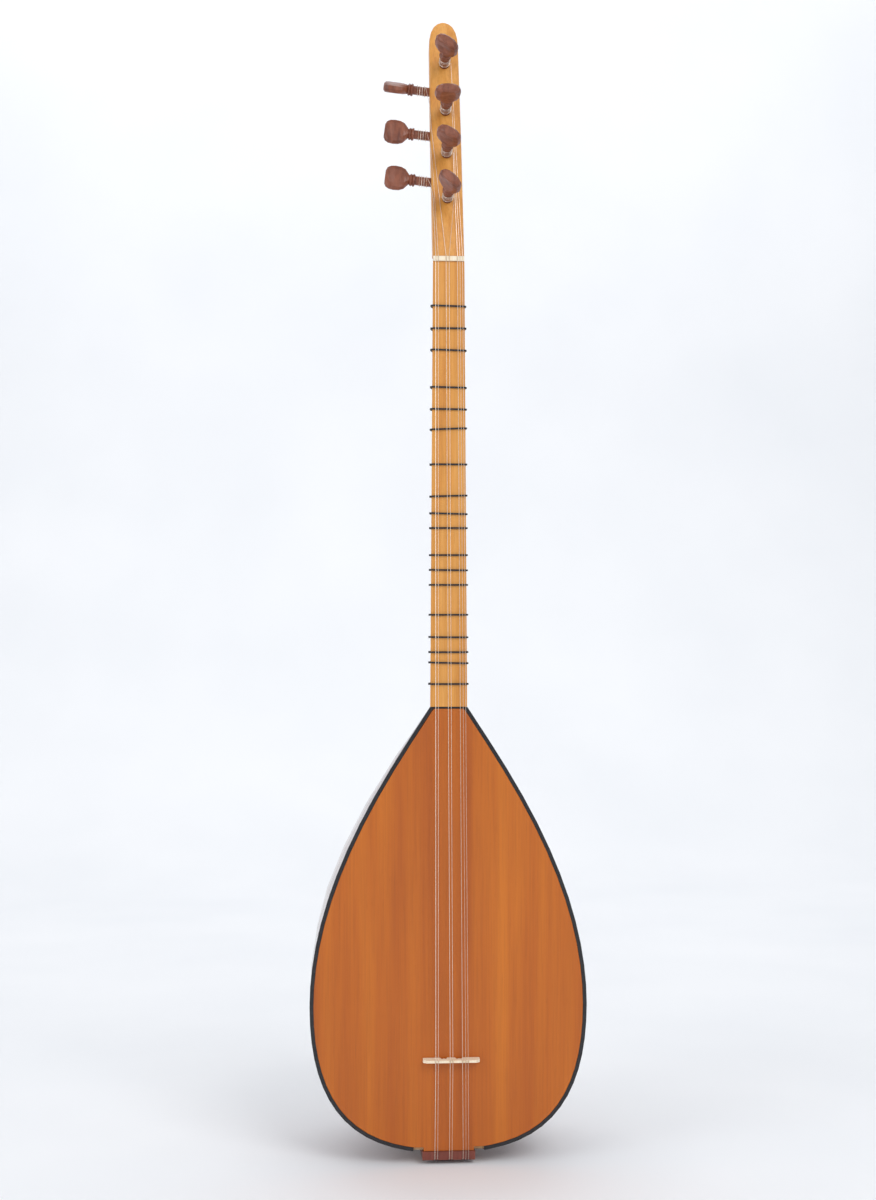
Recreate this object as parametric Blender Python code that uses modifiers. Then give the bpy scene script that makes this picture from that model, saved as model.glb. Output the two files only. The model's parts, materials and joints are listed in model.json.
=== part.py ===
"""Short-neck saz, at real size in metres, +Z up along the neck, soundboard facing -Y, +X to the right seen from the
front. The origin is the middle of the front edge line of the string holder's flat lower end."""

import math

import bmesh
import bpy
from mathutils import Matrix, Vector

# ---------------------------------------------------------------- driving dimensions (metres)
GAP = 0.0003
JOINT_Z = 0.4096            # neck meets soundboard
NUT_Z = 0.8122              # edge of the nut on the string side
HEAD_Z = 0.8167             # neck ends, headstock begins
STRING_SCALE = 0.7235       # from the nut to the bridge, as the frets are set
BRIDGE_Z = 0.09095
HOLDER_HEIGHT = 0.0083
HOLDER_WIDTH = 0.0477
HOLDER_DEPTH = 0.034
TAIL_S = 0.4010             # the body is cut flat here, below the joint
BOARD = 0.0030              # soundboard and binding thickness
RIM_Y = BOARD + GAP
BINDING = 0.0033
WALL = 0.0030               # thickness of a stave
RIM_WALL = 0.0050           # and at its rim, where the soundboard rests
STAVES = 9
NECK_HALF_JOINT = 0.0167
NECK_HALF_NUT = 0.0142
NECK_DEPTH_JOINT = 0.0270
NECK_DEPTH_NUT = 0.0205
MAX_HALF_WIDTH = 0.1256     # widest at 270 mm below the joint
BOWL_DEPTH = 0.1880
HEAD_TILT = math.radians(17.0)
HEAD_LENGTH = 0.2425
HEAD_HALF = 0.0142
HEAD_THICK_NUT = 0.0180
HEAD_THICK_TIP = 0.0150
PEG_RADIUS = 0.0041
COIL_RADIUS = 0.0051        # of the wound string's centre line
WIRE = 0.00025

# fret: semitones above the open string, and how far it is tied askew, in degrees
FRETS = [(1, -1.4), (1.52, 0), (2.04, -1.5), (2.97, -1.2), (3.54, -0.6), (4.07, 2.3), (5.07, 0), (6.01, 1.7),
         (6.56, -1.4), (7.02, 0), (7.92, 0), (8.44, -0.7), (8.97, 0), (10.09, 0), (10.98, -0.5), (11.6, 0),
         (12.06, -1.3), (13, 0)]
# string: x at the nut, x at the bridge, x at the holder, radius
STRINGS = [(-0.0120, -0.0124, -0.0127, 0.00026), (-0.0096, -0.0101, -0.0102, 0.00018),
           (-0.0026, 0.0006, 0.0005, 0.00022), (0.0002, 0.0030, 0.0028, 0.00018),
           (0.0077, 0.0117, 0.0129, 0.00026), (0.0100, 0.0146, 0.0154, 0.00018),
           (0.0123, 0.0168, 0.0178, 0.00018)]
# peg: distance along the headstock from the nut, turn of its head about its axis
FRONT_PEGS = [(0.1970, -35), (0.1477, 0), (0.1035, -30), (0.0574, -42)]
SIDE_PEGS = [(0.1734, 50), (0.1267, 0), (0.0790, 0)]
SIDE_PEG_RISE = math.radians(7.5)
SIDE_AXIS_DEPTH = 0.0090    # behind the headstock's front face
BRIDGE_Y = -0.0090          # height of the bridge
STRING_Y_NUT = -0.0016
STRING_Y_BRIDGE = -0.0090

for old in list(bpy.data.objects):
    bpy.data.objects.remove(old, do_unlink=True)
parts = bpy.data.collections.new("short_neck_saz")
tools = bpy.data.collections.new("cutters")
bpy.context.scene.collection.children.link(parts)
bpy.context.scene.collection.children.link(tools)
tools.hide_render = True


# ---------------------------------------------------------------- helpers
def material(name, colour, rough, metallic=0.0):
    mat = bpy.data.materials.new(name)
    mat.use_nodes = True
    shader = mat.node_tree.nodes["Principled BSDF"]
    shader.inputs["Base Color"].default_value = (*colour, 1)
    shader.inputs["Roughness"].default_value = rough
    shader.inputs["Metallic"].default_value = metallic
    return mat


def place(name, mesh, mat, matrix=None, helper=False):
    obj = bpy.data.objects.new(name, mesh)
    (tools if helper else parts).objects.link(obj)
    if matrix is not None:
        obj.matrix_world = matrix
    if helper:
        obj.hide_render = True
        obj.display_type = "WIRE"
    elif mat is not None:
        own = mat.copy()
        own.name = name + "_finish"
        mesh.materials.append(own)
    return obj


def loft(name, rings, mat=None, matrix=None, closed=False, helper=False):
    """A closed body through rings of equally many points, capped at both ends, or joined into a loop."""
    made = bmesh.new()
    rows = [[made.verts.new(p) for p in ring] for ring in rings]
    count = len(rows[0])
    pairs = list(zip(rows, rows[1:]))
    if closed:
        pairs.append((rows[-1], rows[0]))
    for a, b in pairs:
        for i in range(count):
            j = (i + 1) % count
            made.faces.new((a[i], a[j], b[j], b[i]))
    if not closed:
        made.faces.new(rows[0][::-1])
        made.faces.new(rows[-1])
    bmesh.ops.recalc_face_normals(made, faces=made.faces)
    mesh = bpy.data.meshes.new(name)
    made.to_mesh(mesh)
    made.free()
    mesh.shade_smooth()
    mesh.set_sharp_from_angle(angle=math.radians(35))
    return place(name, mesh, mat, matrix, helper)


def box(name, low, high, mat=None, helper=False, bevel=0.0, matrix=None):
    made = bmesh.new()
    bmesh.ops.create_cube(made, size=1.0)
    for vert in made.verts:
        vert.co = Vector([low[k] + (vert.co[k] + 0.5) * (high[k] - low[k]) for k in range(3)])
    mesh = bpy.data.meshes.new(name)
    made.to_mesh(mesh)
    made.free()
    obj = place(name, mesh, mat, matrix, helper)
    if bevel:
        mod = obj.modifiers.new("edges", "BEVEL")
        mod.width = bevel
        mod.segments = 1
    return obj


def boolean(obj, other, operation="DIFFERENCE"):
    mod = obj.modifiers.new(other.name, "BOOLEAN")
    mod.operation = operation
    mod.solver = "EXACT"
    mod.object = other


def cylinder(name, radius, low, high, matrix, sides=16):
    made = bmesh.new()
    bmesh.ops.create_cone(made, cap_ends=True, segments=sides, radius1=radius, radius2=radius, depth=high - low)
    bmesh.ops.translate(made, verts=made.verts, vec=(0, 0, (low + high) / 2))
    mesh = bpy.data.meshes.new(name)
    made.to_mesh(mesh)
    made.free()
    return place(name, mesh, None, matrix, helper=True)


def wire(name, points, radius, mat, matrix=None, sides=1):
    curve = bpy.data.curves.new(name, "CURVE")
    curve.dimensions = "3D"
    curve.bevel_depth = radius
    curve.bevel_resolution = sides
    curve.use_fill_caps = True
    spline = curve.splines.new("POLY")
    spline.points.add(len(points) - 1)
    for point, co in zip(spline.points, points):
        point.co = (*co, 1)
    return place(name, curve, mat, matrix)


def bezier(t, a, b, c, d):
    u = 1 - t
    return tuple(u**3 * a[k] + 3 * u * u * t * b[k] + 3 * u * t * t * c[k] + t**3 * d[k] for k in range(2))


def table(curves, steps=300):
    """(distance below the joint, value) along a run of Bezier curves."""
    return [bezier(i / steps, *curve) for curve in curves for i in range(steps + 1)]


def look_up(rows, s):
    s = min(max(s, rows[0][0]), rows[-1][0])
    low, high = 0, len(rows) - 1
    while high - low > 1:
        middle = (low + high) // 2
        if rows[middle][0] <= s:
            low = middle
        else:
            high = middle
    (s0, v0), (s1, v1) = rows[low], rows[high]
    return v0 if s1 == s0 else v0 + (v1 - v0) * (s - s0) / (s1 - s0)


lean = math.radians(33)
OUTLINE = table([
    ((0, NECK_HALF_JOINT), (0.066 * math.cos(lean), NECK_HALF_JOINT + 0.066 * math.sin(lean)),
     (0.158, MAX_HALF_WIDTH), (0.270, MAX_HALF_WIDTH)),
    ((0.270, MAX_HALF_WIDTH), (0.389, MAX_HALF_WIDTH), (0.4030, 0.057), (0.4030, 0)),
])
drop = math.radians(44)
KEEL = table([
    ((0, NECK_DEPTH_JOINT - RIM_Y), (0.075 * math.cos(drop), NECK_DEPTH_JOINT - RIM_Y + 0.075 * math.sin(drop)),
     (0.165, BOWL_DEPTH), (0.288, BOWL_DEPTH)),
    ((0.288, BOWL_DEPTH), (0.372, BOWL_DEPTH), (0.4030, 0.120), (0.4030, 0)),
])


def smooth(a, b, x):
    t = min(max((x - a) / (b - a), 0), 1)
    return t * t * (3 - 2 * t)


def bowl_point(s, phi):
    """The bowl's outer surface: phi 0 is the left rim, pi the right one."""
    c, n = math.cos(phi), max(math.sin(phi), 0)
    flare = 0.17 * smooth(0, 0.06, s) * (1 - smooth(0.15, 0.30, s))
    x = -look_up(OUTLINE, s) * math.copysign(abs(c) ** (2 / 2.35), c) * (1 + flare * n)
    return Vector((x, RIM_Y + look_up(KEEL, s) * n ** (2 / 2.35), JOINT_Z - s))


def bowl_inner(s, phi, thick, flat=True):
    e, f = 0.0008, 0.01
    p = bowl_point(s, phi)
    a = bowl_point(min(s + e, TAIL_S), phi) - bowl_point(max(s - e, 0), phi)
    b = bowl_point(s, min(phi + f, math.pi)) - bowl_point(s, max(phi - f, 0))
    n = a.cross(b).normalized()
    if n.dot(Vector((p.x, p.y - RIM_Y + 0.01, 0))) > 0:
        n = -n
    q = p + n * thick
    if phi < 0.02 or phi > math.pi - 0.02:
        q.y = RIM_Y
    if flat:
        q.z = p.z
    return q


def wall(phi, extra=0.0):
    return WALL + (RIM_WALL - WALL) * (1 - smooth(0.0, 0.25, math.sin(phi))) + extra


# ---------------------------------------------------------------- materials
honey = material("honey_wood", (0.74, 0.42, 0.15), 0.32)
pale = material("pale_wood", (0.86, 0.72, 0.50), 0.45)
orange = material("orange_lacquered_wood", (0.50, 0.14, 0.02), 0.28)
bowl_wood = material("dark_lacquered_wood", (0.20, 0.07, 0.03), 0.15)
red_brown = material("red_brown_wood", (0.23, 0.07, 0.035), 0.4)
black = material("black_binding", (0.012, 0.012, 0.014), 0.3)
cord = material("black_cord", (0.015, 0.015, 0.017), 0.5)
steel = material("string_steel", (0.80, 0.76, 0.72), 0.25, 1.0)
raw = material("raw_wood", (0.70, 0.50, 0.30), 0.7)

# ---------------------------------------------------------------- bowl of nine staves
stations = [GAP + (TAIL_S - GAP) * (1 - (1 - k / 16) ** 1.9) for k in range(17)]
stations[1:1] = [0.015, 0.030]
for number in range(STAVES):
    rings = []
    for s in stations:
        ends = []
        for side, phi in ((1, math.pi * number / STAVES), (-1, math.pi * (number + 1) / STAVES)):
            if 1e-6 < phi < math.pi - 1e-6:
                reach = (bowl_point(s, phi + 0.005) - bowl_point(s, phi - 0.005)).length / 0.01
                phi += side * 0.5 * GAP / reach * 1.15
            ends.append(phi)
        angles = [ends[0] + (ends[1] - ends[0]) * k / 3 for k in range(4)]
        angles = [min(max(a, 0), math.pi) for a in angles]
        ring = [bowl_point(s, a) for a in angles]
        ring += [bowl_inner(s, a, wall(a)) for a in reversed(angles)]
        rings.append(ring)
    stave = loft(f"stave_{number + 1}", rings, bowl_wood)
    if number == STAVES // 2:
        hole_s = 0.362
        centre = bowl_point(hole_s, math.pi / 2)
        out = Vector((0, 0.62, -0.78))
        hole = cylinder("sound_hole", 0.0105, -0.02, 0.02,
                        Matrix.Translation(centre) @ out.to_track_quat("Z", "Y").to_matrix().to_4x4(), 20)
        boolean(stave, hole)

# ---------------------------------------------------------------- soundboard and its black edge
edge = [0.0019 + (TAIL_S - 0.0019) * (1 - (1 - k / 26) ** 1.8) for k in range(27)]


def outline_at(s, inset):
    e = 0.0006
    a, b = max(s - e, 0), min(s + e, 0.4026)
    dw, ds = look_up(OUTLINE, b) - look_up(OUTLINE, a), b - a
    size = math.hypot(dw, ds)
    return look_up(OUTLINE, s) - inset * ds / size, s + inset * dw / size


side = [outline_at(s, BINDING + GAP) for s in edge]
tail_half = HOLDER_WIDTH / 2 - 0.0011
side = [(w, s) for w, s in side if s < 0.2 or w > tail_half + 0.0015]
top_s = 0.0019
right = [(side[0][0] - 0.0018, top_s)] + side + [(tail_half, side[-1][1] + 0.0002), (tail_half, TAIL_S)]
flat_outline = [(w, JOINT_Z - s) for w, s in right] + [(-w, JOINT_Z - s) for w, s in reversed(right)]
rings = [[Vector((x, y, z)) for x, z in flat_outline] for y in (0, BOARD)]
loft("soundboard", rings, orange)

first = outline_at(GAP, BINDING)
for name, sign in (("binding_left", -1), ("binding_right", 1)):
    rings = []
    for s in [GAP] + edge:
        outer, inner = outline_at(s, 0), outline_at(s, BINDING)
        if s < 0.002:
            inner = (inner[0], s)
        rings.append([Vector((sign * w, y, JOINT_Z - d)) for (w, d), y in
                      ((outer, 0), (outer, BOARD), (inner, BOARD), (inner, 0))])
    loft(name, rings, black)
inlay_half = first[0] - GAP - 0.0002
box("joint_inlay", (-inlay_half, 0, JOINT_Z - 0.0015), (inlay_half, BOARD, JOINT_Z - GAP), black)

brace_s = 0.215
brace_half = look_up(OUTLINE, brace_s) - RIM_WALL - 0.0025
profile = [(-brace_half, RIM_Y), (brace_half, RIM_Y), (brace_half, RIM_Y + 0.003), (brace_half - 0.02, RIM_Y + 0.010),
           (-brace_half + 0.02, RIM_Y + 0.010), (-brace_half, RIM_Y + 0.003)]
loft("brace", [[Vector((x, y, JOINT_Z - brace_s + dz)) for x, y in profile] for dz in (-0.003, 0.003)], raw)

# ---------------------------------------------------------------- blocks inside
spread = [math.pi * k / 10 for k in range(11)]
heel = loft("heel_block", [[bowl_inner(s, a, wall(a, GAP + 0.0002)) for a in spread] for s in
                           stations[:4]], raw)
mortise = box("mortise", (-0.0073, 0.0057, JOINT_Z - 0.0313), (0.0073, 0.0203, JOINT_Z + 0.01), helper=True)
boolean(heel, mortise)

core = loft("tail_core", [[bowl_inner(s, a, wall(a, GAP + 0.0002)) for a in spread] for s in
                          stations[-7:]], helper=True)
end_block = box("end_block", (-0.033, RIM_Y + 0.0002, JOINT_Z - 0.4005), (0.033, 0.060, JOINT_Z - 0.377), raw)
boolean(end_block, core, "INTERSECT")

# ---------------------------------------------------------------- neck


def neck_section(z):
    t = (z - JOINT_Z) / (HEAD_Z - JOINT_Z)
    half = NECK_HALF_JOINT + (NECK_HALF_NUT - NECK_HALF_JOINT) * t
    depth = NECK_DEPTH_JOINT + (NECK_DEPTH_NUT - NECK_DEPTH_JOINT) * t
    return half, depth


def neck_ring(z, grow=0.0, skew=0.0, steps=8):
    half, depth = neck_section(z)
    pts = [(half - 0.0009, 0.0), (half, 0.0009)]
    for k in range(steps + 1):
        a = math.pi * k / steps
        c, n = math.cos(a), max(math.sin(a), 0)
        pts.append((half * math.copysign(abs(c) ** (2 / 2.35), c), RIM_Y + (depth - RIM_Y) * n ** (2 / 2.35)))
    pts += [(-half, 0.0009), (-half + 0.0009, 0.0)]
    out = []
    for k, (x, y) in enumerate(pts):
        a, b = pts[k - 1], pts[(k + 1) % len(pts)]
        dx, dy = b[0] - a[0], b[1] - a[1]
        size = math.hypot(dx, dy)
        nx, ny = dy / size, -dx / size
        corner = 1.25 if k in (0, 1, len(pts) - 1, len(pts) - 2) else 1.06
        out.append(Vector((x + nx * grow * corner, y + ny * grow * corner, z + x * skew)))
    return out


neck = loft("neck", [neck_ring(JOINT_Z + (HEAD_Z - JOINT_Z) * k / 4) for k in range(5)], honey)
tenon = box("tenon", (-0.0070, 0.0060, JOINT_Z - 0.0310), (0.0070, 0.0200, JOINT_Z + 0.001), helper=True)
seat = box("nut_seat", (-0.02, -0.002, NUT_Z - GAP), (0.02, 0.0027, HEAD_Z + 0.002), helper=True)
boolean(neck, tenon, "UNION")
boolean(neck, seat)

nut = box("nut", (-0.0140, -0.0019, NUT_Z), (0.0140, 0.0024, HEAD_Z - 0.0002), pale)
for number, (x, _, _, radius) in enumerate(STRINGS):
    boolean(nut, box(f"nut_notch_{number + 1}", (x - radius - 0.0003, -0.01, NUT_Z - 0.002),
                     (x + radius + 0.0003, STRING_Y_NUT + radius + 0.0003, HEAD_Z + 0.002), helper=True))

# ---------------------------------------------------------------- tied frets
for number, (semitone, angle) in enumerate(FRETS):
    z = NUT_Z - STRING_SCALE * (1 - 2 ** (-semitone / 12))
    skew = math.tan(math.radians(angle))
    low, high = 0.00035, 0.00115
    rings = []
    inner, outer = neck_ring(z, low, skew), neck_ring(z, high, skew)
    for k, (p, q) in enumerate(zip(inner, outer)):
        knot = 1.9 if k == len(inner) - 3 else 1.0
        q = p + (q - p) * knot
        wide = 0.00075 * (1.25 if knot > 1 else 1)
        lift = Vector((0, 0, wide))
        rings.append([p - lift, p + lift, q + lift, q - lift])
    fret = loft(f"fret_{number + 1:02d}", rings, cord, closed=True)
    fret.data.transform(Matrix.Translation((0, 0, -z)))
    fret.location = (0, 0, z)

# ---------------------------------------------------------------- headstock
UP = Vector((0, math.sin(HEAD_TILT), math.cos(HEAD_TILT)))
BACK = Vector((0, math.cos(HEAD_TILT), -math.sin(HEAD_TILT)))
BASE = Vector((0, 0, HEAD_Z))


def head_point(x, t, q):
    """x to the right, t along the headstock from the nut, q behind its front face."""
    return BASE + Vector((x, 0, 0)) + UP * t + BACK * q


def head_half(t):
    half = HEAD_HALF - 0.0006 * smooth(0.12, 0.21, t)
    if t > 0.2155:
        half *= (1 - min((t - 0.2155) / 0.027, 1) ** 2.6) ** (1 / 2.6)
    return half


def head_ring(t, level=False):
    thick = HEAD_THICK_NUT + (HEAD_THICK_TIP - HEAD_THICK_NUT) * max(t, 0) / HEAD_LENGTH
    half = head_half(max(t, 0))
    f, b = min(0.0022, half * 0.6), min(0.0042, half * 0.7)
    pts = []
    for cx, cq, r, start in ((half - f, f, f, -90), (half - b, thick - b, b, 0),
                             (-half + b, thick - b, b, 90), (-half + f, f, f, 180)):
        for k in range(3):
            a = math.radians(start + 45 * k)
            pts.append((cx + r * math.cos(a), cq + r * math.sin(a)))
    out = []
    for x, q in pts:
        along = (GAP + q * math.sin(HEAD_TILT)) / math.cos(HEAD_TILT) if level else t
        out.append(head_point(x, along, q))
    return out


head_stations = [0.012, 0.12, 0.2155, 0.226, 0.233, 0.238, 0.241, HEAD_LENGTH - 0.0002]
head = loft("headstock", [head_ring(0, True)] + [head_ring(t) for t in head_stations], honey)

# ---------------------------------------------------------------- pegs, and the string wound on each


def frame_at(origin, axis, side_way):
    """A matrix whose Z is the peg's axis, pointing out of the headstock, and whose X is near side_way."""
    z = axis.normalized()
    x = (side_way - z * side_way.dot(z)).normalized()
    y = z.cross(x)
    rows = Matrix((x, y, z)).transposed().to_4x4()
    return Matrix.Translation(origin) @ rows


def peg_rings(inner, turn):
    """Shaft, turned collar and flattened head as one body, along +Z from the headstock's face."""
    rings = []
    sides = 12

    def ring(z, a, b, power=2.0, dish=0.0):
        pts = []
        for k in range(sides):
            angle = 2 * math.pi * k / sides
            c, n = math.cos(angle), math.sin(angle)
            x = a * math.copysign(abs(c) ** (2 / power), c)
            y = b * math.copysign(abs(n) ** (2 / power), n) * (1 - dish * n * n)
            p = Vector((x, y, z))
            pts.append(Matrix.Rotation(math.radians(turn), 3, "Z") @ p)
        rings.append(pts)

    ring(-inner, PEG_RADIUS - 0.0005, PEG_RADIUS - 0.0005)
    ring(0.0, PEG_RADIUS, PEG_RADIUS)
    ring(0.0146, PEG_RADIUS, PEG_RADIUS)
    for z, r in ((0.0150, 0.0056), (0.0165, 0.0058), (0.0172, 0.0048), (0.0180, 0.0055), (0.0192, 0.0055),
                 (0.0200, 0.0042)):
        ring(z, r, r)
    for z, a, b, power, dish in ((0.0215, 0.0062, 0.0046, 2.0, 0.0), (0.0245, 0.0100, 0.0052, 2.3, 0.10),
                                 (0.0285, 0.0117, 0.0058, 2.5, 0.25), (0.0335, 0.0121, 0.0060, 2.6, 0.32),
                                 (0.0380, 0.0115, 0.0057, 2.5, 0.22), (0.0410, 0.0098, 0.0048, 2.3, 0.05),
                                 (0.0424, 0.0070, 0.0032, 2.0, 0.0)):
        ring(z, a, b, power, dish)
    return rings


def winding_points():
    turns, per = 4, 10
    return [Vector((COIL_RADIUS * math.cos(2 * math.pi * k / per), COIL_RADIUS * math.sin(2 * math.pi * k / per),
                    0.0026 + 0.0088 * k / (turns * per))) for k in range(turns * per + 1)]


pegs = []
for number, (t, turn) in enumerate(FRONT_PEGS):
    matrix = frame_at(head_point(0, t, 0), -BACK, Vector((1, 0, 0)))
    pegs.append((f"peg_front_{number + 1}", matrix, 0.0205, turn))
for number, (t, turn) in enumerate(SIDE_PEGS):
    out = Vector((-math.cos(SIDE_PEG_RISE), 0, 0)) + UP * math.sin(SIDE_PEG_RISE)
    matrix = frame_at(head_point(-HEAD_HALF, t, SIDE_AXIS_DEPTH), out, UP)
    pegs.append((f"peg_side_{number + 1}", matrix, 0.0272, turn))
for name, matrix, inner, turn in pegs:
    loft(name, peg_rings(inner, turn), red_brown, matrix)
    boolean(head, cylinder("hole_" + name, PEG_RADIUS + 0.00035, -0.034, 0.004, matrix))
    wire(name.replace("peg", "winding"), winding_points(), WIRE, steel, matrix, sides=0)

# ---------------------------------------------------------------- strings
near = COIL_RADIUS + WIRE + GAP


def local(x, t, h):
    return head_point(x, t, -h)


ends = {}
for index, peg_t, height in ((3, 0.0574, 0.0052), (4, 0.1035, 0.0034), (5, 0.1477, 0.0034), (6, 0.1970, 0.0034)):
    r = STRINGS[index][3]
    ends[index] = [local(near + r + 0.0001, peg_t, height)]
for index, peg_t in ((0, 0.0790), (1, 0.1267), (2, 0.1734)):
    r = STRINGS[index][3]
    away = 0.0022 + GAP + r + 0.0003
    cx, ch = -HEAD_HALF + 0.0022, -0.0022
    run = []
    for angle, share in ((72, 0.72), (30, 0.90)):
        a = math.radians(angle)
        run.append(local(cx - away * math.cos(a), peg_t * share, ch + away * math.sin(a)))

    run.append(local(-HEAD_HALF - 0.0032, peg_t + 0.0005, -(SIDE_AXIS_DEPTH - near - r - 0.0001)))
    ends[index] = run

for index, (x_nut, x_bridge, x_tail, r) in enumerate(STRINGS):
    def at(z, y):
        f = (z - BRIDGE_Z) / (NUT_Z - BRIDGE_Z)
        return Vector((x_bridge + (x_nut - x_bridge) * f, y, z))

    path = list(reversed(ends[index]))
    path.append(Vector((x_nut, STRING_Y_NUT + 0.0001, HEAD_Z - 0.0003)))
    path.append(Vector((x_nut, STRING_Y_NUT, NUT_Z)))
    path += [at(BRIDGE_Z + 0.006, STRING_Y_BRIDGE + 0.00006), at(BRIDGE_Z - 0.0030, STRING_Y_BRIDGE)]
    front = -0.0016 - r - GAP
    path.append(Vector((x_tail, front, HOLDER_HEIGHT + 0.0002)))
    path.append(Vector((x_tail, -0.0003 - r - GAP - 0.0002, 0.0012)))
    # round the lower edge, then up into the channel of the string holder, where it hooks over a tooth
    path.append(Vector((x_tail, 0.0012, 0.0007)))
    path.append(Vector((x_tail, 0.0068, 0.0009)))
    path.append(Vector((x_tail, 0.0078, 0.0024)))
    wire(f"string_{index + 1}", path, r, steel, sides=1)

# ---------------------------------------------------------------- string holder
half = HOLDER_WIDTH / 2
profile = [(-0.0014, HOLDER_HEIGHT), (0.0, HOLDER_HEIGHT), (HOLDER_DEPTH, HOLDER_HEIGHT), (HOLDER_DEPTH, 0.0015),
           (HOLDER_DEPTH - 0.0015, 0.0), (0.0004, 0.0), (-0.0002, 0.0006)]
holder = loft("string_holder", [[Vector((x, y, z)) for y, z in profile] for x in (-half, half)], red_brown)
boolean(holder, box("holder_channel", (-half + 0.003, 0.0062, -0.001), (half - 0.003, 0.0098, 0.0045), helper=True))
for number, (_, _, x, radius) in enumerate(STRINGS):
    boolean(holder, box(f"holder_notch_{number + 1}", (x - radius - 0.0003, -0.004, -0.001),
                        (x + radius + 0.0003, 0.0070, 0.0007 + radius + 0.0006), helper=True))

# ---------------------------------------------------------------- bridge
low_x, high_x = -0.0236, 0.0275
top = BRIDGE_Y - 0.0004


def arch(a, b, high):
    """Two small lobes with a cusp between them."""
    middle = (a + b) / 2
    return [(a, -GAP), (a + 0.0008, -GAP - high), (middle - 0.0008, -GAP - high), (middle, -GAP - high * 0.55),
            (middle + 0.0008, -GAP - high), (b - 0.0008, -GAP - high), (b, -GAP)]


outline = [(low_x, -GAP)] + arch(-0.0080, -0.0017, 0.0034) + arch(0.0056, 0.0123, 0.0034) + [(high_x, -GAP)]
outline += [(high_x, -0.0060), (high_x - 0.0030, top), (low_x + 0.0030, top), (low_x, -0.0060)]
foot, crown = 0.00185, 0.0011


def thickness(y):
    return foot + (crown - foot) * min(max(-y / -top, 0), 1)


rings = [[Vector((x, y, sign * thickness(y))) for x, y in outline] for sign in (-1, 1)]
bridge = loft("bridge", rings, pale, Matrix.Translation((0, 0, BRIDGE_Z)))
for number, (x_nut, x, _, radius) in enumerate(STRINGS):
    boolean(bridge, box(f"bridge_notch_{number + 1}", (x - radius - 0.0004, -0.02, BRIDGE_Z - 0.01),
                        (x + radius + 0.0004, STRING_Y_BRIDGE + radius + 0.0004, BRIDGE_Z + 0.01), helper=True))
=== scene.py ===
"""Looks of the short-neck saz: finishes, camera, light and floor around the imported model."""

import json
import math

import bpy
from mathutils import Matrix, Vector


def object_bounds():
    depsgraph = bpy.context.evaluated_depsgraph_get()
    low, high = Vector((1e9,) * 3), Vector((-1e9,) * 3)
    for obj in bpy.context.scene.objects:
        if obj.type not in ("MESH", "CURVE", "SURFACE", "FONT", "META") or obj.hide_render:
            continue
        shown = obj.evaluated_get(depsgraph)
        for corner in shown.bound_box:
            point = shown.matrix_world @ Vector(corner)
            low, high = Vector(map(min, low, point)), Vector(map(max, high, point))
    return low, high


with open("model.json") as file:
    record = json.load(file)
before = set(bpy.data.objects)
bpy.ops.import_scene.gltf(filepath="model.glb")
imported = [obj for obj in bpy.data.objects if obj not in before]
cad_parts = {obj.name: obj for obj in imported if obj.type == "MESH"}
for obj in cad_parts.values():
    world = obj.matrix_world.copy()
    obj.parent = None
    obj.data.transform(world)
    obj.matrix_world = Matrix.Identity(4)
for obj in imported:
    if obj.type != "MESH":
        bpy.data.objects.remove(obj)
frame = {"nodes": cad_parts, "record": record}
nodes = frame["nodes"]


def plain(box):
    return [[float(v) for v in corner] for corner in box]


bounds_before = plain(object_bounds())


# ---------------------------------------------------------------- material helpers
class Graph:
    def __init__(self, name):
        self.material = bpy.data.materials.new(name)
        self.material.use_nodes = True
        self.tree = self.material.node_tree
        self.tree.nodes.clear()
        self.out = self.add("ShaderNodeOutputMaterial")
        self.shader = self.add("ShaderNodeBsdfPrincipled")
        self.link(self.shader, "BSDF", self.out, "Surface")
        self.coord = self.add("ShaderNodeTexCoord")

    def add(self, kind, **inputs):
        node = self.tree.nodes.new(kind)
        for key, value in inputs.items():
            node.inputs[key.replace("_", " ")].default_value = value
        return node

    def link(self, a, out, b, into):
        self.tree.links.new(a.outputs[out], b.inputs[into])

    def stretched(self, scale, rotation=(0, 0, 0)):
        mapping = self.add("ShaderNodeMapping")
        mapping.inputs["Scale"].default_value = scale
        mapping.inputs["Rotation"].default_value = rotation
        self.link(self.coord, "Object", mapping, "Vector")
        return mapping

    def noise(self, mapping, scale, detail=6.0, rough=0.55, distortion=0.0):
        node = self.add("ShaderNodeTexNoise")
        node.inputs["Scale"].default_value = scale
        node.inputs["Detail"].default_value = detail
        node.inputs["Roughness"].default_value = rough
        node.inputs["Distortion"].default_value = distortion
        self.link(mapping, "Vector", node, "Vector")
        return node

    def ramp(self, source, out, stops):
        node = self.add("ShaderNodeValToRGB")
        ramp = node.color_ramp
        while len(ramp.elements) < len(stops):
            ramp.elements.new(0.5)
        for element, (place, colour) in zip(ramp.elements, stops):
            element.position = place
            element.color = (*colour, 1) if len(colour) == 3 else colour
        self.link(source, out, node, "Fac")
        return node

    def mix(self, kind, fac, a, b):
        node = self.add("ShaderNodeMix")
        node.data_type = "RGBA"
        node.blend_type = kind
        if isinstance(fac, (int, float)):
            node.inputs[0].default_value = fac
        else:
            self.tree.links.new(fac, node.inputs[0])
        for socket, value in ((6, a), (7, b)):
            if isinstance(value, tuple):
                node.inputs[socket].default_value = (*value, 1)
            else:
                self.tree.links.new(value, node.inputs[socket])
        return node.outputs[2]

    def range(self, source, low, high):
        node = self.add("ShaderNodeMapRange")
        node.inputs["To Min"].default_value = low
        node.inputs["To Max"].default_value = high
        self.tree.links.new(source, node.inputs["Value"])
        return node.outputs["Result"]

    def bump(self, height, strength, distance):
        node = self.add("ShaderNodeBump")
        node.inputs["Strength"].default_value = strength
        node.inputs["Distance"].default_value = distance
        self.tree.links.new(height, node.inputs["Height"])
        self.link(node, "Normal", self.shader, "Normal")


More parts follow.
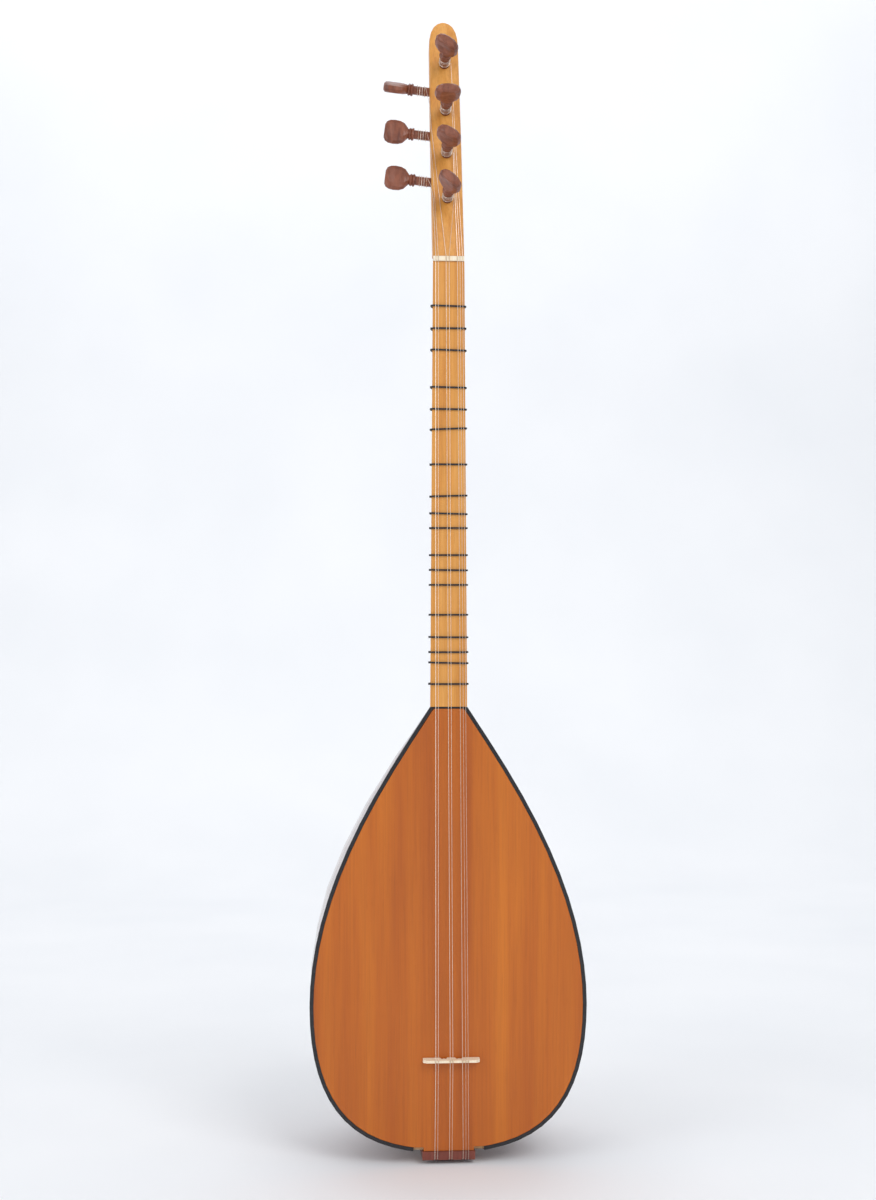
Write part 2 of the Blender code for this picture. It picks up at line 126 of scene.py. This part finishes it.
def wood(name, dark, middle, light, rough=0.35, coat=0.3, fine=420.0, broad=28.0, along=0.035, streak=0.35,
         direction=(0, 0, 0), pores=0.25, coat_rough=0.12):
    """Straight-grained wood: broad bands, fine fibres and short dark pores that run along the object's Z."""
    g = Graph(name)
    band = g.noise(g.stretched((1, 1, along), direction), broad, 5, 0.6, 0.3)
    fibre = g.noise(g.stretched((1, 1, along * 0.6), direction), fine, 4, 0.6)
    blotch = g.noise(g.stretched((1, 1, 0.6), direction), 9.0, 3, 0.5)
    base = g.ramp(band, "Fac", [(0.28, dark), (0.50, middle), (0.74, light)])
    fine_tone = g.ramp(fibre, "Fac", [(0.30, (0.62, 0.58, 0.55)), (0.55, (1, 1, 1)), (0.8, (1.0, 1.0, 1.0))])
    colour = g.mix("MULTIPLY", streak, base.outputs["Color"], fine_tone.outputs["Color"])
    cloud = g.ramp(blotch, "Fac", [(0.3, (0.86, 0.84, 0.82)), (0.7, (1, 1, 1))])
    colour = g.mix("MULTIPLY", 0.55, colour, cloud.outputs["Color"])
    pore = g.noise(g.stretched((1, 1, 0.05), direction), 900.0, 2, 0.5)
    pore_mask = g.ramp(pore, "Fac", [(0.62, (0, 0, 0)), (0.72, (1, 1, 1))])
    colour = g.mix("MIX", g.range(pore_mask.outputs["Color"], 0.0, pores), colour,
                   tuple(c * 0.45 for c in dark))
    g.tree.links.new(colour, g.shader.inputs["Base Color"])
    g.tree.links.new(g.range(fibre.outputs["Fac"], rough - 0.07, rough + 0.08), g.shader.inputs["Roughness"])
    g.shader.inputs["Coat Weight"].default_value = coat
    g.shader.inputs["Coat Roughness"].default_value = coat_rough
    g.bump(fibre.outputs["Fac"], 0.12, 0.0003)
    return g.material


def smooth_black(name, rough, scale):
    g = Graph(name)
    wear = g.noise(g.stretched((1, 1, 1)), scale, 4, 0.6)
    tone = g.ramp(wear, "Fac", [(0.35, (0.006, 0.006, 0.008)), (0.75, (0.022, 0.022, 0.026))])
    g.tree.links.new(tone.outputs["Color"], g.shader.inputs["Base Color"])
    g.tree.links.new(g.range(wear.outputs["Fac"], rough - 0.08, rough + 0.12), g.shader.inputs["Roughness"])
    g.bump(wear.outputs["Fac"], 0.1, 0.0002)
    return g.material


def metal(name):
    g = Graph(name)
    wear = g.noise(g.stretched((1, 1, 1)), 700.0, 3, 0.6)
    tone = g.ramp(wear, "Fac", [(0.3, (0.72, 0.60, 0.50)), (0.7, (0.95, 0.86, 0.76))])
    g.tree.links.new(tone.outputs["Color"], g.shader.inputs["Base Color"])
    g.shader.inputs["Metallic"].default_value = 1.0
    g.tree.links.new(g.range(wear.outputs["Fac"], 0.28, 0.45), g.shader.inputs["Roughness"])
    return g.material


def srgb(r, g, b):
    return tuple(((c / 255 + 0.055) / 1.055) ** 2.4 if c > 10 else c / 255 / 12.92 for c in (r, g, b))


finishes = {
    "soundboard_wood": wood("soundboard_wood", srgb(170, 80, 8), srgb(190, 98, 12), srgb(206, 114, 20), 0.46, 0.05,
                            fine=520, broad=34, streak=0.30, pores=0.15),
    "honey_wood": wood("honey_wood", srgb(208, 134, 54), srgb(225, 155, 70), srgb(238, 174, 92), 0.40, 0.10,
                       fine=700, broad=120, streak=0.35, pores=0.2),
    "bowl_wood": wood("bowl_wood", srgb(84, 40, 26), srgb(118, 60, 38), srgb(146, 80, 50), 0.18, 0.8,
                      fine=520, broad=46, streak=0.4, coat_rough=0.06),
    "peg_wood": wood("peg_wood", srgb(104, 52, 34), srgb(134, 74, 50), srgb(156, 92, 66), 0.42, 0.12,
                     fine=900, broad=160, along=0.12, direction=(0.3, 0.5, 0.2), streak=0.4),
    "holder_wood": wood("holder_wood", srgb(104, 48, 38), srgb(126, 62, 48), srgb(144, 76, 58), 0.42, 0.1,
                        fine=800, broad=150, direction=(0, math.pi / 2, 0), streak=0.4),
    "pale_wood": wood("pale_wood", srgb(244, 220, 184), srgb(253, 238, 210), srgb(255, 247, 226), 0.5, 0.05,
                      fine=900, broad=160, direction=(0, math.pi / 2, 0), streak=0.25, pores=0.12),
    "inner_wood": wood("inner_wood", srgb(176, 140, 96), srgb(200, 164, 118), srgb(216, 184, 140), 0.65, 0.0,
                       fine=600, broad=90),
    "binding_black": smooth_black("binding_black", 0.28, 240.0),
    "fret_cord": smooth_black("fret_cord", 0.5, 1600.0),
    "string_steel": metal("string_steel"),
}

for part in frame["record"]["subparts"]:
    obj = nodes[part["node"]]
    finish = finishes[part["material_slot"]]
    if not obj.data.materials:
        obj.data.materials.append(finish)
    for slot in obj.material_slots:
        slot.material = finish

# ---------------------------------------------------------------- floor and backdrop
g = Graph("studio_paper")
tone = g.noise(g.stretched((1, 1, 1)), 3.0, 2, 0.5)
paper = g.ramp(tone, "Fac", [(0.3, (0.86, 0.87, 0.89)), (0.7, (0.90, 0.905, 0.92))])
g.tree.links.new(paper.outputs["Color"], g.shader.inputs["Base Color"])
g.shader.inputs["Roughness"].default_value = 0.8
profile = [(-3.0, 0.0)] + [(1.6 + 1.0 * math.sin(a), 1.0 - 1.0 * math.cos(a)) for a in
                           [math.pi / 2 * k / 12 for k in range(13)]] + [(2.6, 4.0)]
floor_z = bounds_before[0][2] - 0.004
mesh = bpy.data.meshes.new("sweep")
verts = [(x, y, floor_z + z) for x in (-4.0, 4.0) for y, z in profile]
count = len(profile)
faces = [(k, k + 1, count + k + 1, count + k) for k in range(count - 1)]
mesh.from_pydata(verts, [], faces)
mesh.shade_smooth()
mesh.materials.append(g.material)
sweep = bpy.data.objects.new("sweep", mesh)
bpy.context.scene.collection.objects.link(sweep)

# ---------------------------------------------------------------- light
bpy.context.scene.view_settings.view_transform = "Standard"
world = bpy.data.worlds.new("studio")
bpy.context.scene.world = world
world.use_nodes = True
world.node_tree.nodes["Background"].inputs["Color"].default_value = (0.93, 0.96, 1.0, 1)
world.node_tree.nodes["Background"].inputs["Strength"].default_value = 0.62


def softbox(name, place, target, size, power, colour=(1, 1, 1)):
    data = bpy.data.lights.new(name, "AREA")
    data.shape = "RECTANGLE"
    data.size, data.size_y = size
    data.energy = power
    data.color = colour
    obj = bpy.data.objects.new(name, data)
    bpy.context.scene.collection.objects.link(obj)
    obj.location = place
    obj.rotation_euler = (Vector(target) - Vector(place)).to_track_quat("-Z", "Y").to_euler()
    return obj


softbox("key", (1.2, -2.4, 2.4), (0, 0, 0.5), (1.6, 1.6), 36)
softbox("fill", (-2.2, -1.6, 1.2), (0, 0, 0.5), (1.4, 2.0), 18)
softbox("back", (0, 1.3, 3.0), (0, 2.2, 0.6), (3.0, 1.2), 26)

# ---------------------------------------------------------------- camera
distance, azimuth = 1.75, math.radians(-4.0)
target = Vector((-0.0098, 0, 0.506))
camera_data = bpy.data.cameras.new("camera")
camera_data.sensor_fit = "VERTICAL"
camera_data.sensor_height = 36
camera_data.sensor_width = 36 * 876 / 1200
camera_data.lens = 36 * distance / (1200 * 0.000903)
camera = bpy.data.objects.new("camera", camera_data)
bpy.context.scene.collection.objects.link(camera)
camera.location = target + distance * Vector((math.sin(azimuth), -math.cos(azimuth), 0))
camera.rotation_euler = (target - camera.location).to_track_quat("-Z", "Y").to_euler()
bpy.context.scene.camera = camera
